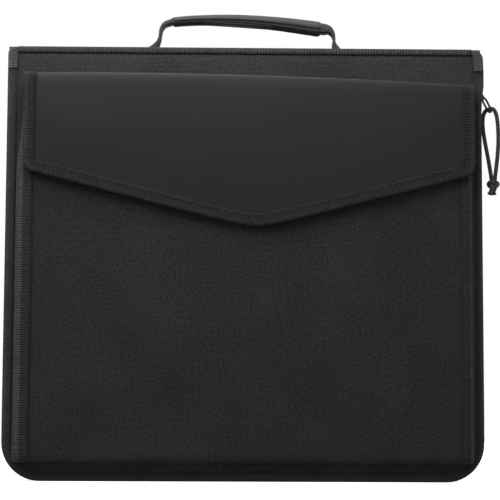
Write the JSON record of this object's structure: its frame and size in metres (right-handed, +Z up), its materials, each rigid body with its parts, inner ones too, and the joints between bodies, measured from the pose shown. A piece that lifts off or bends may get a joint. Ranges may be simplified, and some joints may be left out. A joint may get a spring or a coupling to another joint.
{
  "type": "portfolio case",
  "caption": "Soft zip-round portfolio case with a flapped front pocket, a wrapped carrying handle on its spine and a corded zip pull.",
  "frame": {"origin": "middle of the case's footprint on the floor, at the bottom edge of its tapes", "axes": "+X to the right seen from the front, +Y from the pocket towards the back cover, +Z up to the handle"},
  "size_m": [0.3567, 0.0584, 0.3392],
  "materials": {
    "fabric": "matte",
    "edge_tape": "matte",
    "zip_tape": "matte",
    "zip_teeth": "satin",
    "zip_metal": "satin",
    "lining": "matte",
    "board": "matte",
    "webbing": "matte",
    "leatherette": "satin",
    "touch_fastener": "matte",
    "cord": "matte"
  },
  "bodies": {
    "back": {"back_panel": "fabric", "back_board": "board", "back_lining": "lining", "back_gusset": "fabric", "back_binding": "edge_tape", "back_top_binding": "edge_tape", "back_zip_tape": "zip_tape", "back_zip_teeth": "zip_teeth", "back_zip_stops": "zip_metal", "inner_sleeve": "lining", "inner_sleeve_binding": "edge_tape"},
    "spine": {"spine_panel": "fabric", "spine_board": "board", "spine_lining": "lining", "spine_end_bindings": "edge_tape", "left_strap_end": "webbing", "right_strap_end": "webbing"},
    "handle": {"handle_strap": "webbing", "handle_grip": "leatherette"},
    "front": {"front_panel": "fabric", "front_board": "board", "front_lining": "lining", "front_gusset": "fabric", "front_binding": "edge_tape", "front_top_binding": "edge_tape", "front_zip_tape": "zip_tape", "front_zip_teeth": "zip_teeth", "front_zip_stops": "zip_metal", "pocket_panel": "fabric", "pocket_bindings": "edge_tape", "pocket_mouth_binding": "edge_tape", "pocket_loop_patches": "touch_fastener", "flap_root": "leatherette"},
    "flap": {"flap_panel": "leatherette", "flap_lining": "lining", "flap_binding": "edge_tape", "flap_hook_patches": "touch_fastener"},
    "slider": {"zip_slider": "zip_metal"},
    "tab": {"pull_tab": "zip_metal"},
    "cord": {"pull_cord": "cord", "pull_knot": "cord"}
  },
  "joints": [
    {"name": "spine_fold", "type": "hinge", "parent": "back", "child": "spine", "pos_m": [0, 0.0292, 0.31], "axis": [-1, 0, 0], "range_deg": [0, 90]},
    {"name": "cover_fold", "type": "hinge", "parent": "spine", "child": "front", "pos_m": [0, -0.0184, 0.31], "axis": [-1, 0, 0], "range_deg": [0, 90]},
    {"name": "flap_fold", "type": "hinge", "parent": "front", "child": "flap", "pos_m": [0, -0.0292, 0.2816], "axis": [-1, 0, 0], "range_deg": [0, 150]},
    {"name": "handle_swing", "type": "hinge", "parent": "spine", "child": "handle", "pos_m": [0, 0.0054, 0.3108], "axis": [1, 0, 0], "range_deg": [-60, 60], "deforming": ["handle_strap"]},
    {"name": "slider_run", "type": "slide", "parent": "back", "child": "slider", "axis": [0, 0, -1], "range_m": [0, 0.19], "deforming": ["front_zip_teeth", "back_zip_teeth"]},
    {"name": "tab_swing", "type": "hinge", "parent": "slider", "child": "tab", "pos_m": [0.1692, 0.0054, 0.2903], "axis": [0, -1, 0], "range_deg": [0, 125]},
    {"name": "cord_hang", "type": "hinge", "parent": "tab", "child": "cord", "pos_m": [0.17884, 0.0054, 0.27053], "axis": [0, -1, 0], "range_deg": [-125, 0], "deforming": ["pull_cord"]}
  ],
  "couplings": [
    {"joint": "cord_hang", "follows": "tab_swing", "ratio": -1}
  ]
}
